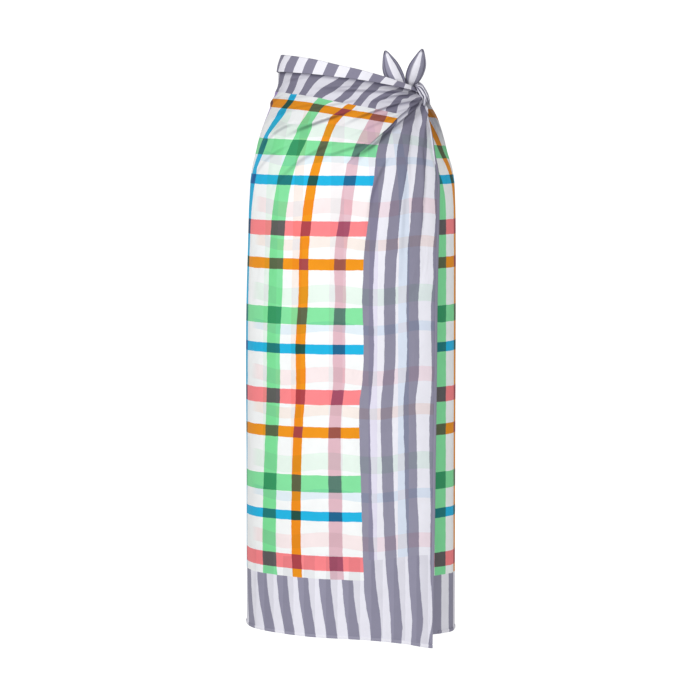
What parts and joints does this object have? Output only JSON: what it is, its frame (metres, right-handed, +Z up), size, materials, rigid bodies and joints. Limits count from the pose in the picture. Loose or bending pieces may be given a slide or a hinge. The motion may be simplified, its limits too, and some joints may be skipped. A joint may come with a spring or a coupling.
{
  "type": "sarong",
  "caption": "Long rectangle of light cloth wound round a hollow waist and hips as a straight ankle-length skirt, top turned down, knotted at one hip with two pointed corners standing up.",
  "frame": {"origin": "middle of the waist opening, at the level where the wearer's waist holds the garment up", "axes": "+Z up, +X towards the knotted hip (the image's right), -Y the front"},
  "size_m": [0.3771, 0.2552, 1.0596],
  "materials": {
    "checked_cloth": "matt, light plain weave, off-white with coloured bands",
    "striped_cloth": "matt, light plain weave, grey and white stripes"
  },
  "bodies": {
    "root": {"front_wrap": "checked_cloth", "back_wrap": "checked_cloth", "inner_wrap": "checked_cloth", "waist_turnover": "striped_cloth", "front_hem": "striped_cloth", "back_hem": "striped_cloth", "edge_hem": "striped_cloth", "knot_front": "striped_cloth", "knot_back": "striped_cloth", "knot_end_left": "striped_cloth", "knot_end_right": "striped_cloth"}
  },
  "joints": []
}
